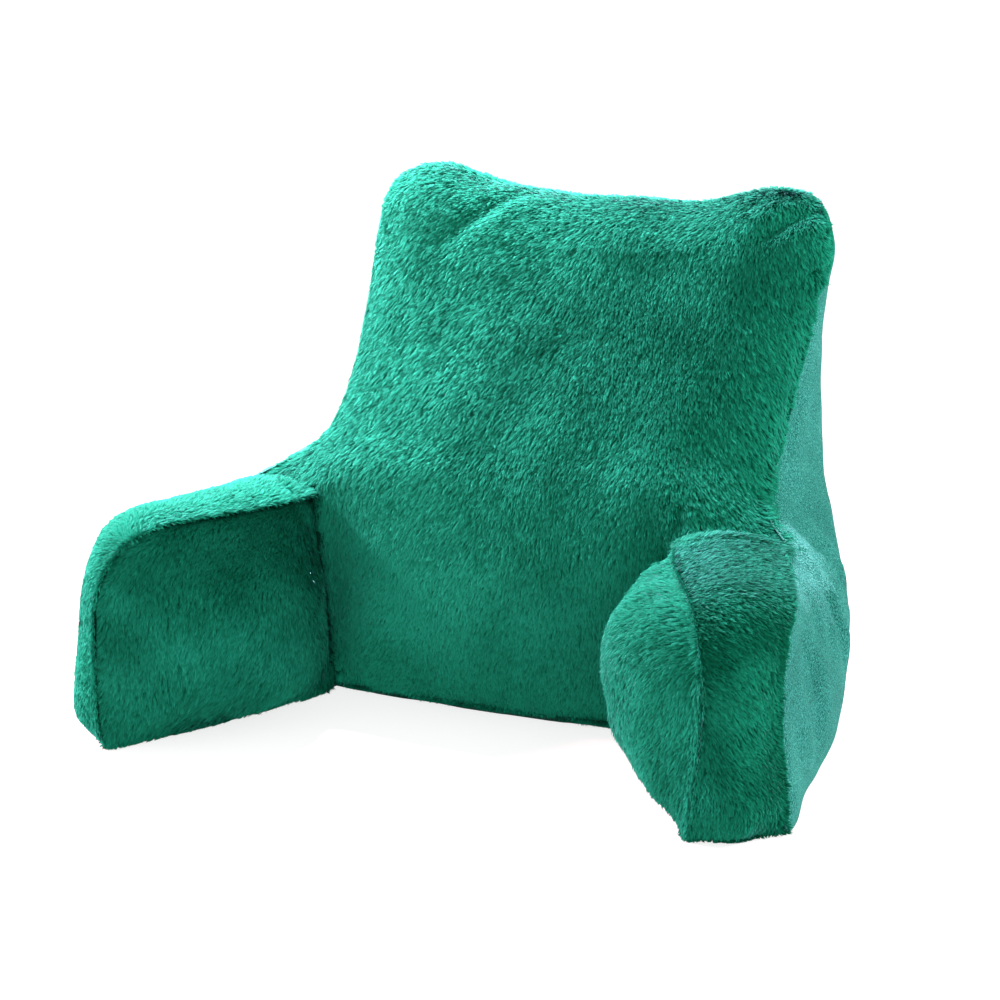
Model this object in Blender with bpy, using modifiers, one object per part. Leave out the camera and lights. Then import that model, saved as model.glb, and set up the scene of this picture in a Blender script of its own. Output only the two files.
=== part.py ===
"""A reading pillow with two arms: a stuffed back, two stuffed arms and the cloth panels sewn round them.

Metres, +Z up, the front faces -Y. The pillow stands on its flat base panel, with the origin
under the middle of its footprint.
"""
from collections import namedtuple
from math import asin, cos, hypot, pi, sin, sqrt

import bmesh
import bpy
from mathutils import Vector

NAME = "reading_pillow"

# Cloth and clearances
BASE_CLOTH = 0.0020      # base panel
BACK_CLOTH = 0.0030      # smooth knit of the back and the outer sides
SEAM_GAP = 0.0006        # between a stuffed form and the cloth over it
BAND_EDGE = 0.004        # plush boxing strip at its seams
BAND_PILE = 0.009        # and at its middle, pile included
FLOOR = BASE_CLOTH + 0.0004

# The two puffed top corners and the slack edge between them
EAR_RISE = 0.020
EAR_AT = 0.178
EAR_SPREAD = 0.058
EDGE_SAG = 0.002
CORNER_PUFF = 0.012      # how far the top corners swell forward
TOP_START = 0.440        # where the back begins to close over
TOP_RISE = 0.040         # height of that closing, without the corners' rise
TOP_LINE_Y = 0.150       # the ridge where front and back meet
TOP_HALF_WIDTH = 0.210
PANEL_TOP_TURN = 0.72    # share of the closing turn that the smooth back panel climbs

# How the stuffed pillow has settled
LEAN = 0.012             # the upper back stands this far to the right, seen from the front
LEAN_FROM = 0.205
LEAN_OVER = 0.060
SPLAY = (0.014, -0.013)  # the right toe has moved this far outwards and forwards

# An arm
ARM_SEAM_HEIGHT = 0.205  # inner top seam
ARM_CORNER = 0.074       # rounding of the front top corner, seen from the side
OUTER_DROP = 0.011       # how much lower the outer top seam ends than the inner one
TOE_ROUND = 0.007        # rounding of the toe at the floor
TOE_INNER = ((0.293, -0.326), (0.301, -0.318))   # end of its inner side, at the floor and above
TOE_OUTER = ((0.350, -0.258), (0.350, -0.254))
TOE_STANCE = 0.120       # height over which it goes from the one to the other
TOE_LIP = 0.64 * pi      # how far from upright the boxing strip has turned when it ends under the toe
ARM_CROWN = 0.072        # swell of the inner panel
BAND_CROWN = 0.007       # swell of the arm under its boxing strip
TOE_CROWN = 0.009        # and what it gains down the front, towards the toe

# Mesh steps
FRONT_STEPS = 10         # half of the front panel, middle to the arm's crease
WING_STEPS = 5           # from that crease to the side seam
REAR_STEPS = 10          # from the side seam to the middle of the back
ARM_STEPS = 12
ARM_ROWS = 7
ACROSS_STEPS = WING_STEPS
UPPER_HEIGHTS = (0.219, 0.232, 0.246, 0.262, 0.285, 0.315, 0.350, 0.385, 0.415)
TOP_TURNS = (0.0, 0.26, 0.50, PANEL_TOP_TURN, 0.86, 0.96)   # the last leaves a narrow ridge

# Plan of the back at each height. The rear half is a rounded curve of half width `half`, centred on
# `mid`, out to `rear`. `seam` is where the side seam or the arm's outer end meets it, `tuck` how
# deep the stitches pull that seam in, `front` the middle of the front panel, `crease` the corner
# where the front panel meets an arm, and `wing` how far the front panel runs round to the side seam.
Level = namedtuple("Level", "z mid half rear power seam tuck front crease_x crease_y wing")
LEVELS = (
    Level(0.000, -0.150, 0.330, 0.172, 2.0, -0.056, 0.000, -0.058, 0.190, -0.046, 0.0),
    Level(0.030, -0.150, 0.347, 0.184, 2.0, -0.058, 0.000, -0.090, 0.189, -0.060, 0.0),
    Level(0.080, -0.150, 0.355, 0.190, 2.0, -0.060, 0.000, -0.114, 0.187, -0.076, 0.0),
    Level(0.130, -0.144, 0.347, 0.193, 2.2, -0.062, 0.000, -0.124, 0.186, -0.086, 0.0),
    Level(0.180, -0.112, 0.315, 0.195, 2.8, -0.064, 0.000, -0.120, 0.187, -0.094, 0.0),
    Level(0.205, -0.080, 0.288, 0.196, 3.6, -0.064, 0.003, -0.110, 0.187, -0.096, 0.0),
    Level(0.232, -0.030, 0.256, 0.197, 4.4, -0.030, 0.013, -0.095, 0.185, -0.086, 0.1),
    Level(0.262, 0.020, 0.239, 0.196, 4.6, 0.020, 0.012, -0.073, 0.176, -0.064, 0.7),
    Level(0.315, 0.060, 0.234, 0.194, 4.0, 0.060, 0.007, -0.031, 0.173, -0.026, 1.0),
    Level(0.380, 0.092, 0.237, 0.190, 3.3, 0.092, 0.005, 0.024, 0.180, 0.022, 1.0),
    Level(0.440, 0.118, 0.243, 0.186, 3.0, 0.118, 0.005, 0.070, 0.186, 0.064, 1.0),
)


def ease(value):
    """Smooth step from 0 to 1."""
    value = min(max(value, 0.0), 1.0)
    return value * value * (3.0 - 2.0 * value)


def mix(start, end, share):
    return start + (end - start) * share


def level_at(z):
    """The plan's values at height z, on smooth curves through the table's rows."""
    z = min(max(z, LEVELS[0].z), LEVELS[-1].z)
    upper = next(i for i in range(1, len(LEVELS)) if z <= LEVELS[i].z)
    low, high = LEVELS[upper - 1], LEVELS[upper]
    before = LEVELS[max(upper - 2, 0)]
    after = LEVELS[min(upper + 1, len(LEVELS) - 1)]
    span = high.z - low.z
    t = (z - low.z) / span
    values = []
    for p0, p1, p2, p3 in zip(before, low, high, after):
        slope_low = (p2 - p0) / (high.z - before.z) * span
        slope_high = (p3 - p1) / (after.z - low.z) * span
        bend = (2 * t**3 - 3 * t**2 + 1) * p1 + (t**3 - 2 * t**2 + t) * slope_low
        values.append(bend + (3 * t**2 - 2 * t**3) * p2 + (t**3 - t**2) * slope_high)
    return Level(*values)._replace(z=z, wing=ease(mix(low.wing, high.wing, t)))


def corner_lift(x, closing):
    """Rise of the top corners and sag of the edge between them."""
    ear = ease(1.0 - abs(abs(x) - EAR_AT) / (1.6 * EAR_SPREAD))
    sag = ease(1.0 - abs(x) / EAR_AT)
    return closing * (EAR_RISE * ear - EDGE_SAG * sag)


Row = namedtuple("Row", "z closing level")


def arm_top(share):
    """Height of an arm's top seam at a share of its length from the back."""
    turn = max(share - 1.0 + ARM_CORNER / ARM_LENGTH, 0.0) * ARM_LENGTH / ARM_CORNER
    return ARM_SEAM_HEIGHT - ARM_CORNER * (1.0 - sqrt(max(1.0 - turn * turn, 0.0)))


def arm_foot(share):
    """Height of an arm's underside, which turns up at the toe."""
    turn = max(share - 1.0 + TOE_ROUND / ARM_LENGTH, 0.0) * ARM_LENGTH / TOE_ROUND
    return FLOOR + TOE_ROUND * (1.0 - sqrt(max(1.0 - turn * turn, 0.0)))


def arm_height(share, row):
    foot = arm_foot(share)
    return foot + (arm_top(share) - foot) * row / ARM_ROWS


def toe_point(corner, z):
    """Plan position of the toe's inner or outer corner at height z."""
    share = ease(z / TOE_STANCE)
    return mix(corner[0][0], corner[1][0], share), mix(corner[0][1], corner[1][1], share)


ARM_LENGTH = hypot(TOE_INNER[0][0] - LEVELS[4].crease_x, TOE_INNER[0][1] - LEVELS[4].crease_y)
# Shares of the arm's length at which it is sampled, closer together round its front corner.
CORNER_SHARE = 1.0 - ARM_CORNER / ARM_LENGTH
STRAIGHT_STEPS = ARM_STEPS - 4
ARM_SHARES = [CORNER_SHARE * i / STRAIGHT_STEPS for i in range(STRAIGHT_STEPS)]
ARM_SHARES += [mix(CORNER_SHARE, 1.0, sin(i / 4 * pi / 2)) for i in range(5)]

# Every row of the back, from the floor to the ridge.
ROWS = [Row(arm_height(0.0, i), 0.0, level_at(arm_height(0.0, i))) for i in range(ARM_ROWS + 1)]
ROWS += [Row(z, 0.0, level_at(z)) for z in UPPER_HEIGHTS]
for turn in TOP_TURNS:
    closing = sin(turn * pi / 2)
    opening = cos(turn * pi / 2)
    edge = LEVELS[-1]
    ROWS.append(Row(TOP_START + TOP_RISE * closing, closing, edge._replace(
        mid=mix(TOP_LINE_Y, edge.mid, opening),
        half=mix(TOP_HALF_WIDTH, edge.half, opening),
        rear=mix(TOP_LINE_Y, edge.rear, opening),
        seam=mix(TOP_LINE_Y, edge.seam, opening),
        front=mix(TOP_LINE_Y, edge.front, opening),
        tuck=edge.tuck * opening)))
PANEL_TOP_ROW = len(ROWS) - len(TOP_TURNS) + TOP_TURNS.index(PANEL_TOP_TURN)


def rear_point(row, share):
    """A point of the back's outer side on the right, from the seam (0) to the middle (1)."""
    level = row.level
    depth = level.rear - level.mid
    start = 0.0
    if depth > 1e-6:
        start = asin(min(max((level.seam - level.mid) / depth, 0.0), 1.0) ** (level.power / 2))
    angle = mix(start, pi / 2, share)
    x = level.half * max(cos(angle), 0.0) ** (2 / level.power)
    y = level.mid + depth * sin(angle) ** (2 / level.power)
    pull = level.tuck * max(1.0 - 3.0 * share, 0.0) ** 2
    x = max(x - pull, 0.0) if share < 1.0 else 0.0
    return Vector((x, y, row.z + corner_lift(x, row.closing)))


def arm_wall_point(share, z):
    """A point of the right arm's outer side, from the back (0) to the toe (1)."""
    level = level_at(z)
    start = rear_point(Row(z, 0.0, level), 0.0)
    toe_x, toe_y = toe_point(TOE_OUTER, z)
    y = mix(start.y, toe_y, share)
    # It leaves the back along the back's own curve and comes round to the toe.
    along = rear_point(Row(z, 0.0, level), 0.1)
    slope = (start.x - along.x) / max(along.y - start.y, 1e-4)
    reach = start.y - y
    leave = start.x + min(slope, 0.5) * reach * (1.0 - share) ** 2
    x = mix(leave, toe_x, ease(share))
    return Vector((x, y, z))


def mirrored(point):
    return Vector((-point.x, point.y, point.z))


def wall_grid():
    """Outer side of the smooth back panel: {(row, column): point}, column 0 at the middle rear."""
    points = {}
    for i, row in enumerate(ROWS[:PANEL_TOP_ROW + 1]):
        for column in range(REAR_STEPS + 1):
            point = rear_point(row, 1.0 - column / REAR_STEPS)
            points[i, column] = point
            points[i, -column] = mirrored(point)
    for i in range(ARM_ROWS + 1):
        for step, share in enumerate(ARM_SHARES[1:], 1):
            drop = OUTER_DROP * ease(1.3 * share) * (i / ARM_ROWS) ** 2
            point = arm_wall_point(share, arm_height(share, i) - drop)
            points[i, REAR_STEPS + step] = point
            points[i, -REAR_STEPS - step] = mirrored(point)
    return points


def new_object(name, bm, material):
    """Link a finished bmesh as a smooth-shaded object with its material."""
    bmesh.ops.recalc_face_normals(bm, faces=bm.faces)
    mesh = bpy.data.meshes.new(name)
    bm.to_mesh(mesh)
    bm.free()
    mesh.materials.append(material)
    mesh.shade_smooth()
    item = bpy.data.objects.new(name, mesh)
    bpy.data.collections[NAME].objects.link(item)
    return item


def cloth_material(name, colour, roughness):
    material = bpy.data.materials.new(name)
    material.use_nodes = True
    shader = material.node_tree.nodes["Principled BSDF"]
    shader.inputs["Base Color"].default_value = (*colour, 1.0)
    shader.inputs["Roughness"].default_value = roughness
    shader.inputs["Metallic"].default_value = 0.0
    return material


def split_cell(bm, a, b, c, d):
    """Fill the four-cornered cell a, b, c, d with two triangles that share the edge from a to c."""
    bm.faces.new((a, b, c))
    bm.faces.new((a, c, d))


def grid_faces(bm, verts):
    """Fill every cell of a {(row, column): vert} grid, its diagonals mirrored about column 0."""
    for row, column in list(verts):
        corners = [(row, column), (row, column + 1), (row + 1, column + 1), (row + 1, column)]
        if not all(corner in verts for corner in corners):
            continue
        if column < 0:
            corners = corners[1:] + corners[:1]
        split_cell(bm, *[verts[corner] for corner in corners])


def build_back_panel(material):
    """The smooth panel. Returns the points just inside it that the stuffed forms keep to."""
    bm = bmesh.new()
    verts = {key: bm.verts.new(point) for key, point in wall_grid().items()}
    grid_faces(bm, verts)
    bmesh.ops.recalc_face_normals(bm, faces=bm.faces)
    bm.normal_update()
    outward = 1.0 if verts[2, 0].normal.y > 0.0 else -1.0
    inside = {}
    for key, vert in verts.items():
        step_in = vert.normal * outward * (BACK_CLOTH + SEAM_GAP)
        if key[0] == 0:
            # On the floor the step is level, and longer where the side curves in under.
            level_share = hypot(vert.normal.x, vert.normal.y)
            step_in = Vector((step_in.x, step_in.y, 0.0)) / level_share**2
        inside[key] = vert.co - step_in
    item = new_object("back_panel", bm, material)
    shell = item.modifiers.new("cloth thickness", "SOLIDIFY")
    shell.thickness = BACK_CLOTH
    shell.offset = -outward_sign(item)
    shell.use_even_offset = False
    return inside


def outward_sign(item):
    """+1 when the open panel's faces look away from the pillow."""
    rearmost = max(item.data.polygons, key=lambda face: face.center.y)
    return 1.0 if rearmost.normal.y > 0.0 else -1.0


def front_half(row, end):
    """The front panel from the middle to the side seam on the right, ending on point `end`."""
    level = row.level
    steps = FRONT_STEPS + WING_STEPS
    below = []
    for i in range(FRONT_STEPS + 1):
        x = level.crease_x * sin(i / FRONT_STEPS * pi / 2)
        crown = (1.0 - (x / level.crease_x) ** 2) ** 0.8
        below.append((x, mix(level.crease_y, level.front, crown)))
    for i in range(1, WING_STEPS + 1):
        share = i / WING_STEPS
        below.append((mix(level.crease_x, end.x, share), mix(level.crease_y, end.y, share)))
    points = []
    for i in range(steps + 1):
        angle = i / steps * pi / 2
        x = mix(level.half * sin(angle) ** 0.9, end.x, (i / steps) ** 10)
        y = mix(end.y, level.front, cos(angle) ** 0.8)
        x = mix(below[i][0], x, level.wing)
        y = mix(below[i][1], y, level.wing)
        puff = ease(1.0 - abs(x - EAR_AT) / EAR_SPREAD) * ease((row.z - 0.36) / 0.10)
        y -= CORNER_PUFF * puff * (1.0 - row.closing)
        points.append(Vector((x, y, row.z + corner_lift(x, row.closing))))
    points[-1] = end
    return points


def build_backrest(material, inside):
    bm = bmesh.new()
    rings = []
    for i, row in enumerate(ROWS):
        if i <= PANEL_TOP_ROW:
            rear = [inside[i, column] for column in range(REAR_STEPS + 1)]
        else:
            rear = [rear_point(row, 1.0 - column / REAR_STEPS) for column in range(REAR_STEPS + 1)]
        front = front_half(row, rear[-1])
        half = front + rear[-2::-1]
        ring = half + [mirrored(point) for point in half[-2:0:-1]]
        rings.append([bm.verts.new(point) for point in ring])
    count = len(rings[0])
    for low, high in zip(rings, rings[1:]):
        for i in range(count):
            j = (i + 1) % count
            if i < count // 2:
                split_cell(bm, low[j], high[j], high[i], low[i])
            else:
                split_cell(bm, low[i], low[j], high[j], high[i])
    caps = [bm.faces.new(rings[0]), bm.faces.new(rings[-1])]
    bmesh.ops.triangulate(bm, faces=caps)
    return new_object("backrest", bm, material)


def outline_turn(share):
    """Angle from upright of an arm's outline: 0 along the top, 90 degrees at the front."""
    turn = max(share - CORNER_SHARE, 0.0) / (1.0 - CORNER_SHARE)
    return asin(min(turn, 1.0))


def arm_axis():
    crease = Vector((LEVELS[4].crease_x, LEVELS[4].crease_y, 0.0))
    return (Vector((*TOE_INNER[0], 0.0)) - crease).normalized()


def arm_inner_point(share, row):
    """A point of the right arm's inner panel, swollen between its seams."""
    z = arm_height(share, row)
    level = level_at(z)
    axis = arm_axis()
    inward = Vector((axis.y, -axis.x, 0.0))
    toe_x, toe_y = toe_point(TOE_INNER, z)
    base = Vector((mix(level.crease_x, toe_x, share), mix(level.crease_y, toe_y, share), z))
    climb = row / ARM_ROWS
    rise = sin(pi * (0.04 + 0.92 * climb ** 0.85))
    swell = sin(pi * share ** 0.85) ** 0.75 * rise ** 0.8
    return base + inward * ARM_CROWN * swell


def arm_rim(inside, step, row, across):
    """A point of the right arm at a share `across` from its inner to its outer side."""
    share = ARM_SHARES[step]
    inner = arm_inner_point(share, row)
    outer = inside[row, REAR_STEPS + step]
    point = inner.lerp(outer, across)
    if step == 0:
        point += arm_axis() * SEAM_GAP
    return point


def rim_swell(across):
    return max(sin(pi * across), 0.0) ** 0.7


def rim_lift(step, row, across):
    """How far the stuffing swells an arm's rim out between its two seams."""
    crown = BAND_CROWN
    if step == ARM_STEPS:
        crown += TOE_CROWN * ease(1.3 - 1.3 * row / ARM_ROWS)
    if row == 0 or step == 0:
        crown *= 0.5
    return crown * rim_swell(across)


def arm_outline():
    """(step, row, direction angle) along an arm's outline: top, round the front, in under the toe."""
    path = [(step, ARM_ROWS, outline_turn(share)) for step, share in enumerate(ARM_SHARES)]
    path += [(ARM_STEPS, row, pi / 2) for row in range(ARM_ROWS - 1, -1, -1)]
    return path


def rim_point(inside, step, row, turn, across, lift):
    """A point of the arm's rim, raised by `lift` square to its outline."""
    point = arm_rim(inside, step, row, across)
    point += arm_axis() * sin(turn) * lift
    point.z += cos(turn) * lift
    return point


def build_arm(side, material, inside):
    bm = bmesh.new()
    flip = Vector((side, 1.0, 1.0))
    rims = {}
    for step, row, turn in arm_outline():
        rims[step, row] = turn
    verts = {}
    for step in range(ARM_STEPS + 1):
        for row in range(ARM_ROWS + 1):
            for part in range(ACROSS_STEPS + 1):
                surface = step in (0, ARM_STEPS) or row in (0, ARM_ROWS) or part in (0, ACROSS_STEPS)
                if not surface:
                    continue
                across = part / ACROSS_STEPS
                lift = rim_lift(step, row, across) if (step, row) in rims else 0.0
                turn = rims.get((step, row), 0.0)
                point = rim_point(inside, step, row, turn, across, lift)
                verts[step, row, part] = bm.verts.new(point * flip)
    sizes = (ARM_STEPS, ARM_ROWS, ACROSS_STEPS)
    for axis in range(3):
        first, second = [k for k in range(3) if k != axis]
        for fixed in (0, sizes[axis]):
            for i in range(sizes[first]):
                for j in range(sizes[second]):
                    corners = []
                    # The front's rows run down in the boxing strip, so its diagonals turn round.
                    turned = 1 if axis == 0 else 0
                    for di, dj in ((0, 0), (1, 0), (1, 1), (0, 1)):
                        key = [0, 0, 0]
                        key[axis] = fixed
                        key[first] = i + di
                        key[second] = j + dj
                        corners.append(verts[tuple(key)])
                    corners = corners[turned:] + corners[:turned]
                    split_cell(bm, *corners)
    return new_object("arm_right" if side > 0 else "arm_left", bm, material)


def build_band(side, material, inside):
    """The plush strip round an arm, as a thin closed form over the arm's rim."""
    bm = bmesh.new()
    flip = Vector((side, 1.0, 1.0))
    path = arm_outline() + [(ARM_STEPS, 0, TOE_LIP)]
    layers = []
    for outer_face in (False, True):
        grid = {}
        for i, (step, row, turn) in enumerate(path):
            for part in range(ACROSS_STEPS + 1):
                across = part / ACROSS_STEPS
                lift = rim_lift(step, row, across) + SEAM_GAP
                if outer_face:
                    lift += mix(BAND_EDGE, BAND_PILE, rim_swell(across))
                point = rim_point(inside, step, row, turn, across, lift)
                grid[i, part] = bm.verts.new(point * flip)
        grid_faces(bm, grid)
        layers.append(grid)
    last = len(path) - 1
    border = [(i, 0) for i in range(last + 1)]
    border += [(last, part) for part in range(1, ACROSS_STEPS + 1)]
    border += [(i, ACROSS_STEPS) for i in range(last - 1, -1, -1)]
    border += [(0, part) for part in range(ACROSS_STEPS - 1, 0, -1)]
    inner, outer = layers
    for here, there in zip(border, border[1:] + border[:1]):
        bm.faces.new((inner[here], inner[there], outer[there], outer[here]))
    return new_object("arm_band_right" if side > 0 else "arm_band_left", bm, material)


def build_base(material, inside):
    """The flat bottom panel: the pillow's footprint, from the arms' toes round to the back."""
    level = level_at(0.0)
    half = [(0.0, level.front)]
    for i in range(1, FRONT_STEPS + 1):
        x = level.crease_x * sin(i / FRONT_STEPS * pi / 2)
        half.append((x, mix(level.crease_y, level.front, (1.0 - (x / level.crease_x) ** 2) ** 0.8)))
    straight = [i for i, share in enumerate(ARM_SHARES) if arm_foot(share) < FLOOR + 0.001]
    for step in straight[1:]:
        point = arm_inner_point(ARM_SHARES[step], 0)
        half.append((point.x, point.y))
    for step in reversed(straight):
        point = inside[0, REAR_STEPS + step]
        half.append((point.x, point.y))
    for column in range(REAR_STEPS - 1, -1, -1):
        point = inside[0, column]
        half.append((point.x, point.y))
    outline = half + [(-x, y) for x, y in half[-2:0:-1]]
    bm = bmesh.new()
    face = bm.faces.new([bm.verts.new((x, y, 0.0)) for x, y in outline])
    lifted = bmesh.ops.extrude_face_region(bm, geom=[face])
    top = [item for item in lifted["geom"] if isinstance(item, bmesh.types.BMVert)]
    bmesh.ops.translate(bm, verts=top, vec=(0.0, 0.0, BASE_CLOTH))
    return new_object("base_panel", bm, material)


def settle(items):
    """Set the pillow as it stands: the upper back a little to one side and the right toe splayed."""
    for item in items:
        for vert in item.data.vertices:
            x, y, z = vert.co
            vert.co.x += LEAN * ease((z - LEAN_FROM) / LEAN_OVER)
            splay = ease((x - 0.290) / 0.060) * ease((-0.140 - y) / 0.100) * ease((0.100 - z) / 0.080)
            vert.co.x += SPLAY[0] * splay
            vert.co.y += SPLAY[1] * splay


def centre_on_footprint(items):
    """Put the origin under the middle of the whole pillow."""
    low = Vector((1.0, 1.0, 0.0))
    high = Vector((-1.0, -1.0, 0.0))
    bpy.context.view_layer.update()
    depsgraph = bpy.context.evaluated_depsgraph_get()
    for item in items:
        for vert in item.evaluated_get(depsgraph).data.vertices:
            for k in range(2):
                low[k] = min(low[k], vert.co[k])
                high[k] = max(high[k], vert.co[k])
    middle = (low + high) / 2
    for item in items:
        for vert in item.data.vertices:
            vert.co.x -= middle.x
            vert.co.y -= middle.y


for old in list(bpy.data.objects):
    bpy.data.objects.remove(old)
collection = bpy.data.collections.new(NAME)
bpy.context.scene.collection.children.link(collection)

plush = cloth_material("plush", (0.010, 0.260, 0.180), 0.90)
knit = cloth_material("smooth_knit", (0.030, 0.330, 0.260), 0.80)
plain = cloth_material("base_cloth", (0.020, 0.250, 0.190), 0.85)

inside_points = build_back_panel(knit)
build_backrest(plush, inside_points)
for arm_side in (-1, 1):
    build_arm(arm_side, plush, inside_points)
    build_band(arm_side, plush, inside_points)
build_base(plain, inside_points)
settle(collection.objects)
centre_on_footprint(list(collection.objects))
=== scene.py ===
"""Looks of a reading pillow with two arms: green plush in front, a smooth short-pile knit behind.

Metres, +Z up, the front faces -Y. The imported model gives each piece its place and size.
"""

import math

import bmesh
import bpy
import numpy as np
from mathutils import Matrix, Vector
from mathutils.bvhtree import BVHTree
from mathutils.kdtree import KDTree


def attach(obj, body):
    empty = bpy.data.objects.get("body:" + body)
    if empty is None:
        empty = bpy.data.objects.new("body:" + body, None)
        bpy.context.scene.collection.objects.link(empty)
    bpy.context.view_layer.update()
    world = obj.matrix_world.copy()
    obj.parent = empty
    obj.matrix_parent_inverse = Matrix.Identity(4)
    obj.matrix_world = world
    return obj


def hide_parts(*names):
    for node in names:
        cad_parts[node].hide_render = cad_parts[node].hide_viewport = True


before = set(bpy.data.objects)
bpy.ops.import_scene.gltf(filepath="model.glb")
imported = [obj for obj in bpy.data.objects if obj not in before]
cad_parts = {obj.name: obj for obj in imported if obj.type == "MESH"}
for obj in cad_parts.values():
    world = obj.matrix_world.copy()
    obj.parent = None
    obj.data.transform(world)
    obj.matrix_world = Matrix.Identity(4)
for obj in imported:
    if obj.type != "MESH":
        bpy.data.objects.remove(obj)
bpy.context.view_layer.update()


# ---- Base panel -------------------------------------------------------------------------------
# The flat bottom of the pillow: one piece of plain woven cloth, sewn in all round its edge. It
# carries the stuffed pieces and lies flat on whatever the pillow stands on.

class Socket:
    """A shader output. Arithmetic on it adds Math nodes."""

    def __init__(self, finish, output):
        self.finish = finish
        self.output = output

    def math(self, operation, *values):
        inputs = dict(enumerate(values))
        return self.finish.node("ShaderNodeMath", {"operation": operation}, inputs)

    def __add__(self, other):
        return self.math("ADD", self, other)

    def __mul__(self, other):
        return self.math("MULTIPLY", self, other)

    __radd__ = __add__
    __rmul__ = __mul__


class Finish:
    """A cloth's material, built round one Principled shader."""

    def __init__(self, name, constants):
        self.material = bpy.data.materials.new(name)
        self.material.use_nodes = True
        self.tree = self.material.node_tree
        self.shader = self.tree.nodes["Principled BSDF"]
        for socket, value in constants.items():
            self.shader.inputs[socket].default_value = value

    def node(self, kind, settings=None, inputs=None, output=0):
        """Add a node: its settings first, then the values or links of its sockets."""
        made = self.tree.nodes.new(kind)
        for name, value in (settings or {}).items():
            if name == "stops":
                ramp = made.color_ramp
                while len(ramp.elements) < len(value):
                    ramp.elements.new(0.5)
                for element, (position, colour) in zip(ramp.elements, value):
                    element.position = position
                    element.color = (*colour, 1.0)
            else:
                setattr(made, name, value)
        for key, value in (inputs or {}).items():
            self.feed(made.inputs[key], value)
        return Socket(self, made.outputs[output])

    def feed(self, socket, value):
        if isinstance(value, Socket):
            self.tree.links.new(value.output, socket)
        else:
            socket.default_value = value

    def mix(self, share, first, second):
        """Blend two colours, each a link or a plain (r, g, b)."""
        pair = [(*c, 1.0) if isinstance(c, tuple) else c for c in (first, second)]
        return self.node("ShaderNodeMix", {"data_type": "RGBA"},
                         {0: share, 6: pair[0], 7: pair[1]}, output=2)

    def place(self):
        return self.node("ShaderNodeTexCoord", output="Object")

    def noise(self, scale, detail=2.0, roughness=0.5):
        return self.node("ShaderNodeTexNoise", None, {
            "Vector": self.place(), "Scale": scale, "Detail": detail, "Roughness": roughness})

    def bump(self, height, depth):
        return self.node("ShaderNodeBump", None, {
            "Height": height, "Distance": depth, "Strength": 1.0})

    def wear(self, item):
        """Put this finish on a piece, in place of what it had."""
        item.data.materials.clear()
        item.data.materials.append(self.material)


def new_piece(name, mesh):
    """Link a mesh as a smooth-shaded piece."""
    mesh.shade_smooth()
    item = bpy.data.objects.new(name, mesh)
    bpy.context.scene.collection.objects.link(item)
    return item


def evaluated(item):
    """The piece's mesh with its modifiers applied."""
    depsgraph = bpy.context.evaluated_depsgraph_get()
    return bpy.data.meshes.new_from_object(item.evaluated_get(depsgraph))


def bake_modifiers(item):
    mesh = evaluated(item)
    item.modifiers.clear()
    old = item.data
    item.data = mesh
    bpy.data.meshes.remove(old)


SEWN_ANGLE = math.radians(48)      # a solid's edges that turn more sharply are sewn seams


def cells_of(node):
    """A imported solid's mesh, opened for work."""
    bm = bmesh.new()
    bm.from_mesh(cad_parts[node].data)
    bmesh.ops.remove_doubles(bm, verts=bm.verts, dist=1e-6)
    return bm


def soft_copy(node, name, levels, crease):
    """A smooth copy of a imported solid: its flat cells rounded over, its seams kept by creases."""
    bm = cells_of(node)
    bmesh.ops.join_triangles(bm, faces=bm.faces, angle_face_threshold=math.radians(40),
                             angle_shape_threshold=math.radians(60))
    sharp = bm.edges.layers.float.new("crease_edge")
    for edge in bm.edges:
        if edge.calc_face_angle(0.0) > SEWN_ANGLE:
            edge[sharp] = crease
    mesh = bpy.data.meshes.new(name)
    bm.to_mesh(mesh)
    bm.free()
    item = new_piece(name, mesh)
    rounding = item.modifiers.new("rounding", "SUBSURF")
    rounding.levels = levels
    rounding.render_levels = levels
    bake_modifiers(item)
    return item


def points_of(mesh, what="co"):
    flat = np.empty(len(mesh.vertices) * 3, np.float32)
    mesh.vertices.foreach_get(what, flat)
    return flat.reshape(-1, 3).astype(float)


def surface_of(item):
    """A piece's points, and the way that its surface faces at each."""
    return points_of(item.data), points_of(item.data, "normal")


def set_points(mesh, points):
    mesh.vertices.foreach_set("co", points.astype(np.float32).ravel())
    mesh.update()


BASE_INSET = 0.006         # the base's edge is drawn up inside the pile of the panels round it

base = soft_copy("base_panel", "base_cloth", 1, 0.9)
points, normals = surface_of(base)
points[:, :2] -= BASE_INSET * normals[:, :2]
set_points(base.data, points)
woven = Finish("plain weave", {"Roughness": 0.9, "Sheen Weight": 0.15, "Sheen Roughness": 0.5})
threads = []
for direction in ("X", "Y"):
    threads.append(woven.node("ShaderNodeTexWave", {"bands_direction": direction}, {
        "Vector": woven.place(), "Scale": 330.0, "Distortion": 0.6, "Detail": 1.0}, output=1))
weave = threads[0] * threads[1]
woven.feed(woven.shader.inputs["Base Color"], woven.mix(
    weave + woven.noise(60.0) * 0.3, (0.006, 0.120, 0.086), (0.020, 0.250, 0.190)))
woven.feed(woven.shader.inputs["Normal"], woven.bump(weave, 0.0006))
woven.wear(base)
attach(base, "root")
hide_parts("base_panel")


# ---- Stuffed back -----------------------------------------------------------------------------
# A full bag of fibre fill under one plush panel. The panel runs down between the arms,
# wraps round both sides to the seam with the smooth back, and puffs up in the two top corners.

PILE_DEPTH = 0.0035        # how far the backing cloth lies under the tips of the pile
TUFT_LENGTH = 0.0085
TUFT_WIDTH = 0.0011        # of a tuft, and half that of a strand of tufts
FRONT_TUFTS = 522000
THINNED = 0.60             # the share of the pile that a deep fold hides
FOLD_PAINTED_SHADE = 0.40              # painted shade: how much darker the pile is made in a fold
FOOT = 0.012               # up to this height the cloth is drawn in to the base's seam


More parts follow.
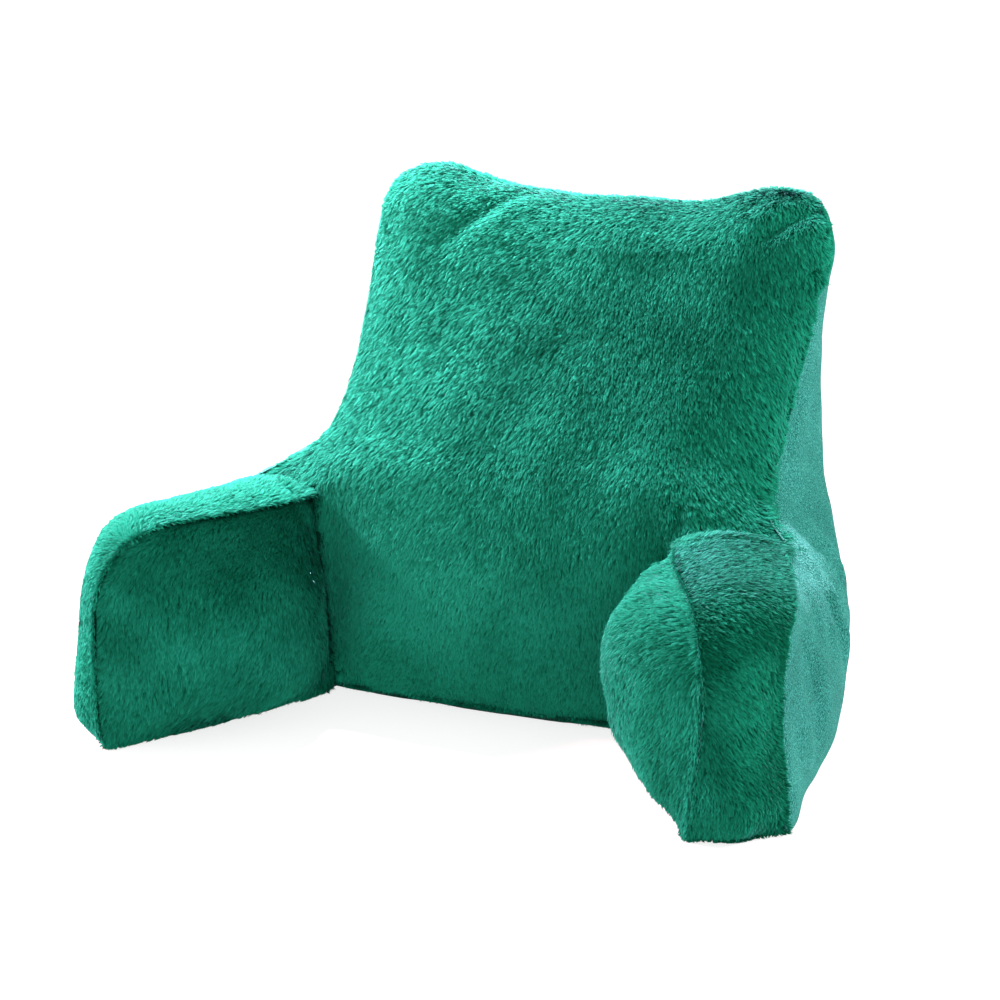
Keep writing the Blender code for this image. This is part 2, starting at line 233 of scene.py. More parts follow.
def ease(values):
    values = np.clip(values, 0.0, 1.0)
    return values * values * (3.0 - 2.0 * values)


def unit(vectors):
    return vectors / np.maximum(np.linalg.norm(vectors, axis=1, keepdims=True), 1e-9)


def drift(points, wavelength, seed):
    """A soft random field over the points, mostly within -1 to 1."""
    waves = 14
    rng = np.random.default_rng(seed)
    heading = unit(rng.normal(size=(waves, 3)))
    turns = 2 * math.pi / (wavelength * rng.uniform(0.75, 1.5, waves))
    start = rng.uniform(0, 2 * math.pi, waves)
    return np.sin(points @ (heading * turns[:, None]).T + start).sum(1) / math.sqrt(waves)


def solid_tree(*nodes):
    """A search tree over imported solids, as they stand beside a piece."""
    bm = bmesh.new()
    for node in nodes:
        bm.from_mesh(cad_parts[node].data)
    tree = BVHTree.FromBMesh(bm)
    bm.free()
    return tree


def beside(tree, points):
    """For each point: its distance to the solids in the tree, and the way there."""
    found = [tree.find_nearest(Vector(p)) for p in points]
    there = np.array([hit[0] for hit in found])
    return np.array([hit[3] for hit in found]), unit(there - points)


def covered(tree, points, normals, reach=0.003):
    """Which points have another piece right over them."""
    hits = [tree.ray_cast(Vector(p), Vector(n), reach)[0] is not None
            for p, n in zip(points + normals * 1e-4, normals)]
    return np.array(hits)


def sewn_line(node):
    """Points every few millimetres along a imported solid's sharp edges, where its cloth is sewn."""
    bm = cells_of(node)
    found = []
    for edge in bm.edges:
        if edge.calc_face_angle(0.0) > SEWN_ANGLE:
            a, b = (vert.co for vert in edge.verts)
            found += [a.lerp(b, k / 8) for k in range(8)]
    bm.free()
    tree = KDTree(len(found))
    for i, point in enumerate(found):
        tree.insert(point, i)
    tree.balance()
    return tree


bottom_edge = sewn_line("base_panel")


def let_down(item):
    """Bring the foot of a skin down and out to the edge of the base, as its cloth is sewn there."""
    points, normals = surface_of(item)
    rim = np.array([bottom_edge.find((x, y, 0.001))[0] for x, y, _ in points])
    way = rim[:, :2] - points[:, :2]
    away = np.linalg.norm(way, axis=1)
    share = ease(1.6 - points[:, 2] / 0.020) * ease((0.026 - away) / 0.008)
    points[:, :2] += way * (share * (1.0 - 0.0015 / np.maximum(away, 0.0015)))[:, None]
    points[:, 2] -= 0.8 * share * np.maximum(points[:, 2] - 0.0024, 0.0)
    set_points(item.data, points)


def remesh(item, voxel):
    grid = item.modifiers.new("even cells", "REMESH")
    grid.mode = "VOXEL"
    grid.voxel_size = voxel
    bake_modifiers(item)


def relax(item, share, rounds, held=None):
    """Even out a skin, with the points in `held` left where they are."""
    mesh = item.data
    edges = np.empty(len(mesh.edges) * 2, np.int32)
    mesh.edges.foreach_get("vertices", edges)
    a, b = edges.reshape(-1, 2).T
    points = points_of(mesh)
    count = np.bincount(a, minlength=len(points)) + np.bincount(b, minlength=len(points))
    for _ in range(rounds):
        total = np.zeros_like(points)
        for k in range(3):
            total[:, k] = (np.bincount(a, points[b, k], len(points))
                           + np.bincount(b, points[a, k], len(points)))
        step = total / count[:, None] - points
        if held is not None:
            step[held] = 0.0
        points += share * step
    set_points(mesh, points)


def plump(item, held):
    """Let the fill press the cloth out. Held points stay, and none moves further than the cap."""
    pressure, cap, steps = 4.0, 0.003, 20
    before = points_of(item.data)
    pins = item.vertex_groups.new(name="sewn")
    pins.add([int(i) for i in np.flatnonzero(held)], 1.0, "REPLACE")
    cloth = item.modifiers.new("fill", "CLOTH")
    settings = cloth.settings
    settings.quality = 6
    settings.mass = 0.25
    settings.tension_stiffness = 12.0
    settings.compression_stiffness = 8.0
    settings.shear_stiffness = 6.0
    settings.bending_stiffness = 0.4
    settings.use_pressure = True
    settings.uniform_pressure_force = pressure
    settings.vertex_group_mass = "sewn"
    settings.effector_weights.gravity = 0.0
    cloth.point_cache.frame_end = steps
    for number in range(1, steps + 1):
        bpy.context.scene.frame_set(number)
    swollen = evaluated(item)
    moved = points_of(swollen) - before
    bpy.data.meshes.remove(swollen)
    item.modifiers.clear()
    item.vertex_groups.clear()
    bpy.context.scene.frame_set(1)
    far = np.linalg.norm(moved, axis=1, keepdims=True)
    set_points(item.data, before + moved * np.minimum(1.0, cap / np.maximum(far, 1e-9)))


def press_folds(item, folds, free=1.0):
    """Press creases into a skin and return how deep each point lies in one, from 0 to 1.

    Each fold is (path, width, depth): sunk along the path and swollen beside it.
    """
    points, normals = surface_of(item)
    shift = np.zeros(len(points))
    groove = np.zeros(len(points))
    for path, width, depth in folds:
        path = np.array(path)
        lengths = np.linalg.norm(np.diff(path, axis=0), axis=1)
        starts = np.concatenate([[0.0], np.cumsum(lengths)])
        best = np.full(len(points), 1e9)
        along = np.zeros(len(points))
        for a, b, start, length in zip(path, path[1:], starts, lengths):
            t = np.clip((points - a) @ (b - a) / length**2, 0.0, 1.0)
            gap = np.linalg.norm(points - (a + t[:, None] * (b - a)), axis=1)
            closer = gap < best
            best = np.where(closer, gap, best)
            along = np.where(closer, (start + t * length) / starts[-1], along)
        taper = np.sin(math.pi * np.clip(along, 0.03, 0.97)) ** 0.6
        sunk = np.exp(-(best / width) ** 2)
        beside_it = np.exp(-((best - 2.1 * width) / (1.1 * width)) ** 2)
        shift += depth * taper * (0.45 * beside_it - sunk)
        groove = np.maximum(groove, taper * sunk * min(1.0, 0.005 / width))
    set_points(item.data, points + normals * (shift * free)[:, None])
    return groove


def lay_pile(skin, names, count, length, cover, nap, tone, seed, comb=4.5, tilt=(0.0, 0.0, 0.0)):
    """Lay plush tufts on a skin and return them as pieces, one for each name, from low to high.

    cover, nap and tone are given for each point of the skin: how long the pile is there (0 leaves
    it bare), the way that it lies, and how light it is. Tufts gather in strands, as combed plush
    does: `comb` is how many times longer than wide a strand is, and `tilt` turns the side that it
    shows to the light. A tuft's UVs hold its tone and the way from its root to its tip.
    """
    rng = np.random.default_rng(seed)
    mesh = skin.data
    mesh.calc_loop_triangles()
    corners = np.empty(len(mesh.loop_triangles) * 3, np.int32)
    mesh.loop_triangles.foreach_get("vertices", corners)
    corners = corners.reshape(-1, 3)
    points, normals = surface_of(skin)
    a, b, c = (points[corners[:, k]] for k in range(3))
    weight = np.linalg.norm(np.cross(b - a, c - a), axis=1) * (cover[corners].max(1) > 0.1)
    steps = np.cumsum(weight)
    cell = np.searchsorted(steps / steps[-1], rng.random(count))
    r1, r2 = np.sqrt(rng.random(count)), rng.random(count)
    shares = np.stack([1.0 - r1, r1 * (1.0 - r2), r1 * r2], 1)

    def at_roots(values):
        picked = values[corners[cell]]
        if picked.ndim == 2:
            return (picked * shares).sum(1)
        return (picked * shares[:, :, None]).sum(1)

    root = at_roots(points)
    out = unit(at_roots(normals))
    lie = at_roots(nap)
    lie = unit(lie - out * (lie * out).sum(1, keepdims=True))
    across = np.cross(out, lie)

    # Every fifth root starts a strand, and each tuft joins the nearest of the seven strands round
    # it, where nearness along the nap counts for less.
    centres = root[::5]
    tree = KDTree(len(centres))
    for i, centre in enumerate(centres):
        tree.insert(centre, i)
    tree.balance()
    near = np.array([[hit[1] for hit in tree.find_n(p, 7)] for p in root])
    offset = centres[near] - root[:, None, :]
    along = (offset * lie[:, None, :]).sum(2)
    sideways = (offset * across[:, None, :]).sum(2)
    rows = np.arange(count)
    best = np.argmin(sideways**2 + (along / comb)**2, axis=1)
    owner = near[rows, best]
    sideways = sideways[rows, best][:, None]
    pull = across * sideways
    clump = rng.normal(0.0, 1.0, len(centres))[owner]
    middle = np.clip(1.0 - np.abs(sideways) / TUFT_WIDTH, 0.0, 1.0)
    turn = (0.10 * clump + rng.normal(0.0, 0.08, count))[:, None]
    lie, across = (lie * np.cos(turn) + across * np.sin(turn),
                   across * np.cos(turn) - lie * np.sin(turn))

    # A tuft is a root, a tip, and a bend out to one side between them.
    size = length * at_roots(cover) * rng.uniform(0.75, 1.15, count) * (1.0 + 0.06 * clump)
    size = size[:, None] * (0.88 + 0.16 * middle)
    lift = 0.26 + 0.07 * clump[:, None] + rng.normal(0.0, 0.03, count)[:, None]
    tip = root + size * (lift * out + 0.92 * lie) + 0.75 * pull
    bend = root + 0.55 * (tip - root)
    root = root - 0.0004 * out
    roll = rng.normal(0.0, 0.22, count)[:, None]
    left = rng.random(count) < 0.5
    side = (across * np.cos(roll) + out * np.sin(roll)) * np.where(left, -1.0, 1.0)[:, None]
    bend = bend + side * TUFT_WIDTH * rng.uniform(0.75, 1.25, count)[:, None]
    place = np.stack([root, tip, bend], 1)
    place[left] = place[left][:, [0, 2, 1]]
    place[..., 2] = np.maximum(place[..., 2], 0.0006)

    # It is shaded as a part of its strand: round across it, and a little askew.
    lean = -0.75 * sideways / 0.0010 + 0.22 * clump[:, None] + 0.10 * rng.normal(size=(count, 1))
    shading = unit(out + across * lean - 0.22 * lie + np.array(tilt)
                   + 0.06 * rng.normal(size=(count, 3)))
    shading = np.stack([shading, unit(shading + 0.15 * lie), unit(shading + 0.35 * side)], 1)
    shading[left] = shading[left][:, [0, 2, 1]]
    # Tufts at a strand's edge are darker and those in its middle lighter: painted shade between the
    # strands and painted light along them.
    shade = np.clip(at_roots(tone) + 0.10 * clump + 0.32 * (middle[:, 0] - 0.5)
                    + rng.normal(0.0, 0.12, count), 0.02, 0.98)
    along_uv = np.where(left[:, None], [0.02, 0.50, 0.98], [0.02, 0.98, 0.50])
    across_uv = 0.008 * (along_uv == 0.50)

    pieces = []
    order = np.argsort(root[:, 2], kind="stable")
    for name, rows in zip(names, np.array_split(order, len(names))):
        amount = len(rows)
        tufts = bpy.data.meshes.new(name)
        tufts.vertices.add(amount * 3)
        tufts.vertices.foreach_set("co", place[rows].astype(np.float32).ravel())
        tufts.loops.add(amount * 3)
        tufts.loops.foreach_set("vertex_index", np.arange(amount * 3, dtype=np.int32))
        tufts.polygons.add(amount)
        tufts.polygons.foreach_set("loop_start", np.arange(0, amount * 3, 3, dtype=np.int32))
        uv = np.stack([shade[rows][:, None] + across_uv[rows], along_uv[rows]], 2)
        layer = tufts.uv_layers.new(name="OFBake")
        layer.data.foreach_set("uv", uv.astype(np.float32).ravel())
        tufts.update(calc_edges=True)
        tufts.shade_smooth()
        tufts.normals_split_custom_set_from_vertices(
            shading[rows].reshape(-1, 3).astype(np.float32))
        pieces.append(new_piece(name, tufts))
    return pieces


backing = Finish("plush backing", {"Roughness": 1.0, "Specular IOR Level": 0.0})
backing.feed(backing.shader.inputs["Base Color"], backing.mix(
    backing.noise(900.0, 3.0), (0.001, 0.035, 0.018), (0.001, 0.085, 0.045)))
backing.feed(backing.shader.inputs["Normal"], backing.bump(backing.noise(1400.0, 2.0), 0.0012))

plush = Finish("plush pile", {
    "Roughness": 0.75, "Sheen Weight": 0.26, "Sheen Roughness": 0.30,
    "Sheen Tint": (0.24, 0.85, 0.94, 1.0), "Specular IOR Level": 0.0})
uv_place = plush.node("ShaderNodeUVMap", {"uv_map": "OFBake"})
tone_of = plush.node("ShaderNodeSeparateXYZ", None, {0: uv_place}, output=0)
way_up = plush.node("ShaderNodeSeparateXYZ", None, {0: uv_place}, output=1)
# Both ramps run darker at the root than at the tip: painted shade in the gaps between the tufts. The
# tone picks between the darker and the lighter ramp.
deep = plush.node("ShaderNodeValToRGB", {"stops": [
    (0.0, (0.001, 0.030, 0.014)), (0.5, (0.0015, 0.066, 0.034)), (1.0, (0.003, 0.105, 0.056))]},
    {0: way_up})
light = plush.node("ShaderNodeValToRGB", {"stops": [
    (0.0, (0.0015, 0.075, 0.038)), (0.5, (0.004, 0.165, 0.092)), (1.0, (0.014, 0.285, 0.175))]},
    {0: way_up})
plush.feed(plush.shader.inputs["Base Color"], plush.mix(tone_of, deep, light))

back = soft_copy("backrest", "back_fill", 2, 0.75)
remesh(back, 0.0075)
relax(back, 0.5, 2, points_of(back.data)[:, 2] < 0.014)
let_down(back)
points, normals = surface_of(back)
around = solid_tree("back_panel", "arm_left", "arm_right", "arm_band_left", "arm_band_right")
knit_side = solid_tree("back_panel")
gap, _ = beside(around, points)
hidden = covered(around, points, normals) | covered(knit_side, points, normals, 0.006)
hidden |= gap < 0.0012
sink = PILE_DEPTH * ease((gap - 0.0015) / 0.010) * ~hidden + 0.0004
set_points(back.data, points - normals * sink[:, None])
plump(back, hidden | (gap < 0.012) | (points[:, 2] < FOOT))
groove = press_folds(back, [
    # where the slack top corners are pushed in
    (((-0.067, 0.206, 0.478), (-0.093, 0.171, 0.471), (-0.114, 0.146, 0.452),
      (-0.136, 0.137, 0.433)), 0.010, 0.0045),
    (((0.225, 0.196, 0.486), (0.209, 0.172, 0.479), (0.188, 0.149, 0.462)), 0.009, 0.009),
    # puckers at the right side seam
    (((0.210, 0.144, 0.431), (0.231, 0.157, 0.431), (0.245, 0.187, 0.429)), 0.0045, 0.004),
    (((0.212, 0.136, 0.411), (0.233, 0.148, 0.409), (0.245, 0.186, 0.405)), 0.0045, 0.004),
    # the seam beside the left arm, a short crease low in the middle, the tuck behind the right arm
    (((-0.212, -0.002, 0.228), (-0.201, -0.017, 0.219), (-0.191, -0.026, 0.205),
      (-0.188, -0.027, 0.180)), 0.003, 0.004),
    (((-0.016, -0.049, 0.187), (-0.013, -0.055, 0.155), (-0.010, -0.055, 0.121)), 0.003, 0.0015),
    (((0.189, -0.043, 0.211), (0.180, -0.025, 0.219), (0.177, -0.019, 0.231),
      (0.180, -0.010, 0.241)), 0.005, 0.006),
])
points, normals = surface_of(back)
set_points(back.data, points + normals * (0.0012 * drift(points, 0.085, 3) * ~hidden)[:, None])

# The pile is longer where it hangs over the seam with the smooth back, and none lies underneath or
# on the ends of the wings, inside the smooth back.
points, normals = surface_of(back)
knit_gap, to_knit = beside(knit_side, points)
arm_gap, _ = beside(solid_tree("arm_left", "arm_right", "arm_band_left", "arm_band_right"), points)
under = (points[:, 2] < 0.006) & (normals[:, 2] < -0.5)
under |= (abs(points[:, 0]) > 0.30) & (points[:, 2] < 0.20)
fringe = ease(1.0 - knit_gap / 0.014)
ragged = (0.45 + 0.35 * drift(points, 0.012, 15)) * ease((0.46 - points[:, 2]) / 0.04)
cover = (0.75 + 0.25 * ease(arm_gap / 0.014)) * (1.0 + ragged * fringe)
cover *= (1.0 - THINNED * groove) * ~(hidden | under)
# Combed down and to the left, more so at the top, and outwards along the right side.
x, z = points[:, 0], points[:, 2]
swirl = -0.42 + 0.34 * ease((x + 0.12) / 0.24) + 0.65 * ease((x - 0.15) / 0.08)
swirl -= 0.30 * ease((z - 0.36) / 0.10) * ease((0.14 - x) / 0.10) - 0.12 * drift(points, 0.12, 11)
swirl += 0.40 * ease((-0.13 - x) / 0.06) * ease((0.32 - z) / 0.08)
on_top = ease(1.3 * normals[:, 2])
swirl -= 0.60 * on_top * ease((x - 0.15) / 0.08) * ease((z - 0.36) / 0.10)
nap = np.stack([np.sin(swirl), -0.2 * np.ones(len(points)), -np.cos(swirl)], 1)
nap = unit(nap) * (1.0 - 0.85 * fringe)[:, None] + to_knit * (1.2 * fringe)[:, None]
# Painted light on the left, along the top and beside the left arm, and painted shade at the foot, in
# the upper middle and in the folds, over the pile's own uneven tone.
tone = 0.54 + 0.10 * drift(points, 0.07, 13) + 0.05 * drift(points, 0.02, 14) - FOLD_PAINTED_SHADE * groove
tone += (0.28 * ease((-0.02 - x) / 0.12) + 0.34 * ease((z - 0.42) / 0.06)
         - 0.24 * ease(1.0 - z / 0.15))
tone += (0.40 * ease((0.12 - abs(x + 0.10)) / 0.08)
         * ease((z - 0.06) / 0.05) * ease((0.26 - z) / 0.05))
tone -= (0.24 * ease((0.16 - abs(x - 0.06)) / 0.10)
         * ease((z - 0.28) / 0.05) * ease((0.42 - z) / 0.04))
front_pile = lay_pile(back, ["front_pile_low", "front_pile_middle", "front_pile_high"],
                      FRONT_TUFTS, TUFT_LENGTH, cover, nap, tone, seed=21)
backing.wear(back)
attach(back, "root")
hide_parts("backrest")
for pile in front_pile:
    plush.wear(pile)
    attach(pile, "root")


# ---- Arms ------------------------------------------------------------------------------------
# Two stuffed arms, faced on the inside with the same plush. Their fill swells the inner panel
# into the seat between them, and the seams at its edge draw it in.

ARM_TUFTS = 100000
ARM_SWELL = 0.008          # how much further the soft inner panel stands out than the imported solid
RIGHT_SWELL = 0.010        # and the rounder right arm above its foot, on top of that
ARM_FOLDS = {
    "left": [(((-0.199, -0.056, 0.205), (-0.194, -0.054, 0.195), (-0.188, -0.049, 0.183)),
              0.004, 0.003)],
    "right": [(((0.189, -0.060, 0.200), (0.184, -0.056, 0.180)), 0.004, 0.003)],
}

for side, arm_seed in (("left", 31), ("right", 41)):
    arm = soft_copy(f"arm_{side}", f"arm_fill_{side}", 2, 0.8)
    remesh(arm, 0.0065)
    relax(arm, 0.5, 2, points_of(arm.data)[:, 2] < 0.014)
    let_down(arm)
    points, normals = surface_of(arm)
    around = solid_tree("back_panel", "backrest", f"arm_band_{side}")
    gap, _ = beside(around, points)
    hidden = covered(around, points, normals) | covered(knit_side, points, normals, 0.012)
    hidden |= gap < 0.0012
    sink = PILE_DEPTH * ease((gap - 0.0012) / 0.010) - ARM_SWELL * ease((gap - 0.015) / 0.055)
    if side == "right":
        sink -= RIGHT_SWELL * ease((gap - 0.003) / 0.028) * ease((points[:, 2] - 0.07) / 0.09)
    sink = sink * ~hidden * ease(points[:, 2] / 0.03) + 0.0004
    set_points(arm.data, points - normals * sink[:, None])
    plump(arm, hidden | (gap < 0.012) | (points[:, 2] < FOOT))
    groove = press_folds(arm, ARM_FOLDS[side])
    points, normals = surface_of(arm)
    uneven = 0.0014 * drift(points, 0.06, arm_seed) * ~hidden
    set_points(arm.data, points + normals * uneven[:, None])

    points, normals = surface_of(arm)
    seam_gap, to_seam = beside(solid_tree(f"arm_band_{side}"), points)
    back_gap, _ = beside(solid_tree("backrest"), points)
    under = (points[:, 2] < 0.006) & (normals[:, 2] < -0.5)
    cover = (0.75 + 0.25 * ease(seam_gap / 0.014)) * (0.8 + 0.2 * ease(back_gap / 0.012))
    inward = normals[:, 0] if side == "left" else -normals[:, 0]
    cover *= (1.0 - THINNED * groove) * ~(hidden | under) * (inward > -0.2)
    # Both are combed down and to the left, and over the seam.
    swirl = 0.50 + 0.55 * ease((points[:, 2] - 0.12) / 0.08)
    swirl += 0.25 * drift(points, 0.10, arm_seed + 1)
    to_left = np.array([0.0, -1.0, 0.0] if side == "left" else [-0.95, 0.30, 0.0])
    down = np.array([0.0, 0.0, -1.0])
    nap = to_left * np.sin(swirl)[:, None] + down * np.cos(swirl)[:, None]
    nap += to_seam * (0.9 * ease(1.0 - seam_gap / 0.012))[:, None]
    tone = 0.38 + 0.12 * drift(points, 0.06, arm_seed + 3)
    tone += 0.05 * drift(points, 0.02, arm_seed + 4)
    # Painted shade in the folds, beside the seam with the strip and on the upward-facing parts.
    tone -= (FOLD_PAINTED_SHADE * groove + 0.35 * ease(1.0 - seam_gap / 0.006)
             + 0.18 * ease(2.0 * normals[:, 2]))
    arm_pile = lay_pile(arm, [f"arm_pile_{side}"], ARM_TUFTS, TUFT_LENGTH, cover, nap, tone,
                        seed=arm_seed + 5, comb=5.5,
                        tilt=(0.0, -0.9 if side == "left" else 0.0, 0.0))[0]
    backing.wear(arm)
    plush.wear(arm_pile)
    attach(arm, "root")
    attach(arm_pile, "root")
    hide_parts(f"arm_{side}")


# ---- Boxing strips ---------------------------------------------------------------------------
# The plush strip sewn round each arm, between its inner panel and the smooth outer side: along
# the top, round the front corner and in under the toe.

BAND_TUFTS = 54000
BAND_TUFT_LENGTH = 0.0080
BAND_DEPTH = 0.003         # how far the strip's cloth lies under the tips of its pile
BAND_FOLDS = {
    "left": [(((-0.243, -0.020, 0.217), (-0.216, -0.049, 0.213), (-0.200, -0.055, 0.203)),
              0.003, 0.003)],
    "right": [(((0.199, -0.062, 0.213), (0.235, -0.045, 0.217), (0.275, -0.022, 0.208)),
               0.006, 0.002)],
}

for side, band_seed in (("left", 51), ("right", 61)):
    band = soft_copy(f"arm_band_{side}", f"boxing_{side}", 2, 0.6)
    points, normals = surface_of(band)
    arm_gap, _ = beside(solid_tree(f"arm_{side}"), points)
    outer = ease((arm_gap - 0.0015) / 0.003)
    set_points(band.data, points - normals * (BAND_DEPTH * outer)[:, None])
    relax(band, 0.5, 4, points[:, 2] < FOOT)
    groove = press_folds(band, BAND_FOLDS[side], outer)
    points, normals = surface_of(band)
    around = solid_tree("back_panel", "backrest", f"arm_{side}")
    gap, _ = beside(around, points)
    hidden = covered(around, points, normals) | covered(knit_side, points, normals, 0.012)
    hidden |= (arm_gap < 0.0016) | ((points[:, 2] < 0.004) & (normals[:, 2] < -0.5))
    let_down(band)
    points, normals = surface_of(band)
    knit_gap, to_knit = beside(knit_side, points)
    fringe = ease(1.0 - knit_gap / 0.012)
    ragged = 0.35 + 0.30 * drift(points, 0.012, 15)
    cover = (0.75 + 0.25 * ease(gap / 0.010)) * (1.0 + ragged * fringe)
    back_gap, _ = beside(solid_tree("backrest"), points)
    cover *= (1.0 - THINNED * groove) * ~hidden * (1.0 + 0.35 * ease(1.0 - back_gap / 0.025))
    swirl = 0.30 * drift(points, 0.10, band_seed)
    on_top = ease(2.0 * normals[:, 2])
    aside, backwards = (0.0, 0.8) if side == "left" else (0.9, 0.3)
    nap = np.stack([np.sin(swirl) + aside * on_top, backwards * on_top, -np.cos(swirl)], 1)
    nap = unit(nap) * (1.0 - 0.8 * fringe)[:, None] + to_knit * (1.1 * fringe)[:, None]
    # The left strip is painted lighter, painted light where the lamps on the left fall on it;
    # painted shade darkens both strips on top, in the fold and beside the seam with the arm.
    band_tone_and_painted_light, painted_top_shade = (0.96, 0.56) if side == "left" else (0.38, 0.38)
    tone = band_tone_and_painted_light + 0.12 * drift(points, 0.05, band_seed + 2) - FOLD_PAINTED_SHADE * groove
    tone -= painted_top_shade * on_top
    tone -= 0.35 * ease(1.0 - arm_gap / 0.007)
    band_pile = lay_pile(band, [f"boxing_pile_{side}"], BAND_TUFTS, BAND_TUFT_LENGTH, cover, nap,
                         tone, seed=band_seed + 3)[0]
    backing.wear(band)
    plush.wear(band_pile)
    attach(band, "root")
    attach(band_pile, "root")
    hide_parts(f"arm_band_{side}")


# ---- Smooth back -----------------------------------------------------------------------------
# One panel of smooth short-pile knit, pulled round the back, the sides and the outside of both
# arms, and sewn to the plush along its edge.

FRINGE_TUFTS = 30000
FRINGE_TUFT_LENGTH = 0.0070
KNIT_FOLDS = [
    (((0.270, 0.024, 0.211), (0.304, 0.006, 0.192), (0.330, -0.002, 0.155), (0.342, -0.004, 0.105)),
     0.008, -0.008),
    (((0.284, -0.020, 0.200), (0.312, -0.036, 0.176), (0.332, -0.046, 0.130)), 0.009, 0.007),
    (((0.262, 0.050, 0.212), (0.296, 0.060, 0.190), (0.322, 0.055, 0.150)), 0.009, 0.008),
    (((0.341, -0.130, 0.160), (0.345, -0.105, 0.104), (0.344, -0.090, 0.050)), 0.012, 0.006),
    (((0.236, 0.150, 0.330), (0.240, 0.120, 0.285), (0.238, 0.085, 0.250)), 0.012, 0.006),
]
KNIT_FOLDS += [(tuple((-x - 0.006, y, z) for x, y, z in path), width, depth)
               for path, width, depth in KNIT_FOLDS]

knit_panel = soft_copy("back_panel", "smooth_back", 2, 0.6)
points, normals = surface_of(knit_panel)
fill_gap, to_fill = beside(
    solid_tree("backrest", "arm_left", "arm_right", "arm_band_left", "arm_band_right"), points)
outer = ease((fill_gap - 0.0012) / 0.0015)
knit_seam = sewn_line("back_panel")
edge_gap = np.array([knit_seam.find(p)[2] for p in points])
turned_in = (np.maximum(fill_gap - 0.0003, 0.0) * ease(1.3 - edge_gap / 0.009)
             * ease(points[:, 2] / 0.02))
wave = 0.0016 * drift(points, 0.11, 71) + 0.0008 * drift(points, 0.045, 72)
points += normals * (wave * ease(edge_gap / 0.03) * outer)[:, None] + to_fill * turned_in[:, None]
set_points(knit_panel.data, points)
relax(knit_panel, 0.4, 2, edge_gap < 0.004)
press_folds(knit_panel, KNIT_FOLDS, outer)
knit = Finish("smooth knit", {
    "Roughness": 0.8, "Sheen Weight": 0.35, "Sheen Roughness": 0.30,
    "Sheen Tint": (0.20, 0.90, 0.86, 1.0), "Specular IOR Level": 0.05})
grain = knit.noise(620.0, 2.0, 0.6)
patch = knit.noise(16.0, 3.0, 0.55)
knit.feed(knit.shader.inputs["Base Color"], knit.node("ShaderNodeValToRGB", {"stops": [
    (0.36, (0.002, 0.064, 0.047)), (0.50, (0.015, 0.191, 0.150)), (0.64, (0.071, 0.400, 0.330))]},
    {0: grain * 0.80 + patch * 0.20}))
knit.feed(knit.shader.inputs["Normal"], knit.bump(grain, 0.0040))
knit.wear(knit_panel)

# The pile of the plush side of the seam leans over the edge of the knit in a ragged fringe.
points, normals = surface_of(knit_panel)
edge_gap = np.array([knit_seam.find(p)[2] for p in points])
reach = 0.006 + 0.010 * ease((points[:, 2] - 0.405) / 0.02) * (points[:, 0] > 0.0)
cover = ease(1.2 - edge_gap / reach) * (points[:, 2] > FOOT)
cover *= 0.75 + 0.25 * drift(points, 0.012, 81)
cover *= 1.0 - ease(2.0 * normals[:, 2] - 0.2) * (points[:, 0] < 0.0)
cover *= ((normals * to_fill).sum(1) < 0.3) & ((points[:, 1] < 0.02) | (points[:, 2] > 0.20))
# Painted shade darkens the tufts right at the knit's edge, over their uneven tone.
tone = 0.50 + 0.15 * drift(points, 0.02, 82) - 0.45 * ease(1.2 - edge_gap / 0.002)
nap = np.stack([2.4 * points[:, 0], 0.6 * np.ones(len(points)), -0.4 * np.ones(len(points))], 1)
fringe_pile = lay_pile(knit_panel, ["fringe_pile"], FRINGE_TUFTS, FRINGE_TUFT_LENGTH, cover, nap,
                       tone, seed=83)[0]
plush.wear(fringe_pile)
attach(fringe_pile, "root")
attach(knit_panel, "root")
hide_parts("back_panel")


# ---- Floor, light and camera -------------------------------------------------------------------
# A plain white studio: a pale floor, soft light all round and four lamps. A narrow one hangs high
# behind on the left, a wide one stands low on the left, a small one hangs in front on the left,
# and one is behind on the right.

HALF = 30.0                # half the floor's side
MIDDLE = Vector((0.0, -0.03, 0.24))        # of the pillow, where most lamps are aimed
ROSY = (2.3, 1.0, 1.30)    # colour of two lamps on the left, for green cloth gives little red back

floor_mesh = bpy.data.meshes.new("floor")
floor_mesh.from_pydata([(-HALF, -HALF, 0), (HALF, -HALF, 0), (HALF, HALF, 0), (-HALF, HALF, 0)],
                       [], [(0, 1, 2, 3)])
floor = bpy.data.objects.new("floor", floor_mesh)
bpy.context.scene.collection.objects.link(floor)
pale = Finish("pale floor", {"Base Color": (0.30, 0.30, 0.30, 1.0), "Roughness": 0.9,
                             "Emission Color": (1.0, 1.0, 1.0, 1.0), "Emission Strength": 0.80})
floor_mesh.materials.append(pale.material)

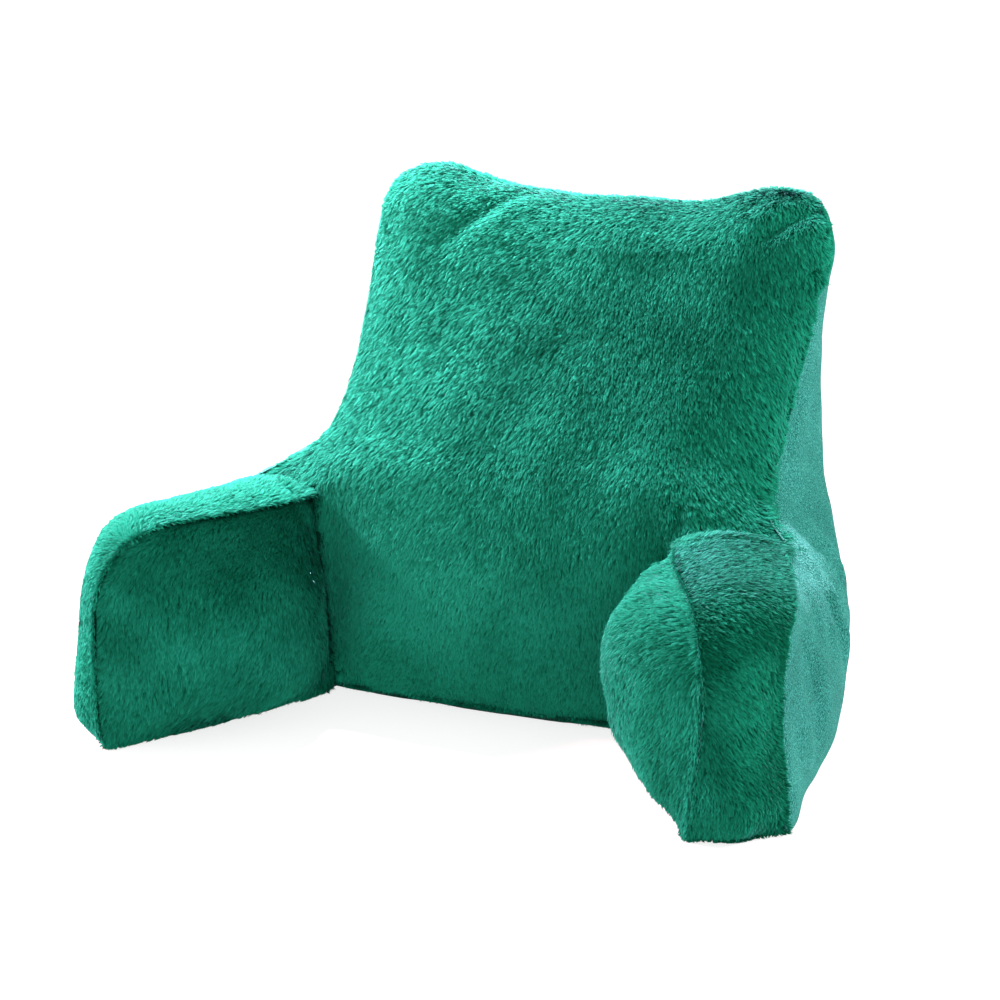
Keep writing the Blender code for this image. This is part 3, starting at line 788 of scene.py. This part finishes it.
world = bpy.data.worlds.new("studio")
world.use_nodes = True
world.node_tree.nodes["Background"].inputs["Color"].default_value = (1.0, 1.0, 1.0, 1.0)
world.node_tree.nodes["Background"].inputs["Strength"].default_value = 1.02
bpy.context.scene.world = world
bpy.context.scene.view_settings.view_transform = "Standard"


def soft_light(name, place, size, power, colour, aim=MIDDLE, spread=180.0):
    """A round soft light: its width, its watts, what it is aimed at and how wide its cone is."""
    lamp = bpy.data.lights.new(name, "AREA")
    lamp.color = colour
    lamp.shape = "DISK"
    lamp.size = size
    lamp.energy = power
    lamp.spread = math.radians(spread)
    item = bpy.data.objects.new(name, lamp)
    item.location = place
    item.rotation_euler = (Vector(place) - Vector(aim)).to_track_quat("Z", "Y").to_euler()
    bpy.context.scene.collection.objects.link(item)


soft_light("top light", (-0.79, 0.82, 2.27), 0.25, 12.0, ROSY, aim=(-0.16, 0.08, 0.40), spread=36.0)
soft_light("side light", (-2.6, -0.15, 0.40), 0.9, 90.0, ROSY)
soft_light("front light", (-2.33, -0.53, 1.51), 0.35, 130.0, (2.4, 1.0, 1.25))
soft_light("right light", (2.40, 1.30, 1.35), 0.6, 90.0, (1.0, 1.0, 1.0))

# The camera stands low in front and to the right.
azimuth, elevation, roll = (math.radians(a) for a in (24.733, 13.996, 0.429))
distance, looked_at = 3.239, Vector((0.0031, -0.0321, 0.224))
back_way = Vector((math.sin(azimuth) * math.cos(elevation),
                   -math.cos(azimuth) * math.cos(elevation), math.sin(elevation)))
right = Vector((math.cos(azimuth), math.sin(azimuth), 0.0))
up = back_way.cross(right)
right, up = (math.cos(roll) * right + math.sin(roll) * up,
             math.cos(roll) * up - math.sin(roll) * right)
spot = looked_at + distance * back_way
lens = bpy.data.cameras.new("camera")
lens.lens = 124.68
lens.sensor_width = 36.0
camera = bpy.data.objects.new("camera", lens)
camera.matrix_world = Matrix.Translation(spot) @ Matrix((right, up, back_way)).transposed().to_4x4()
bpy.context.scene.collection.objects.link(camera)
bpy.context.scene.camera = camera
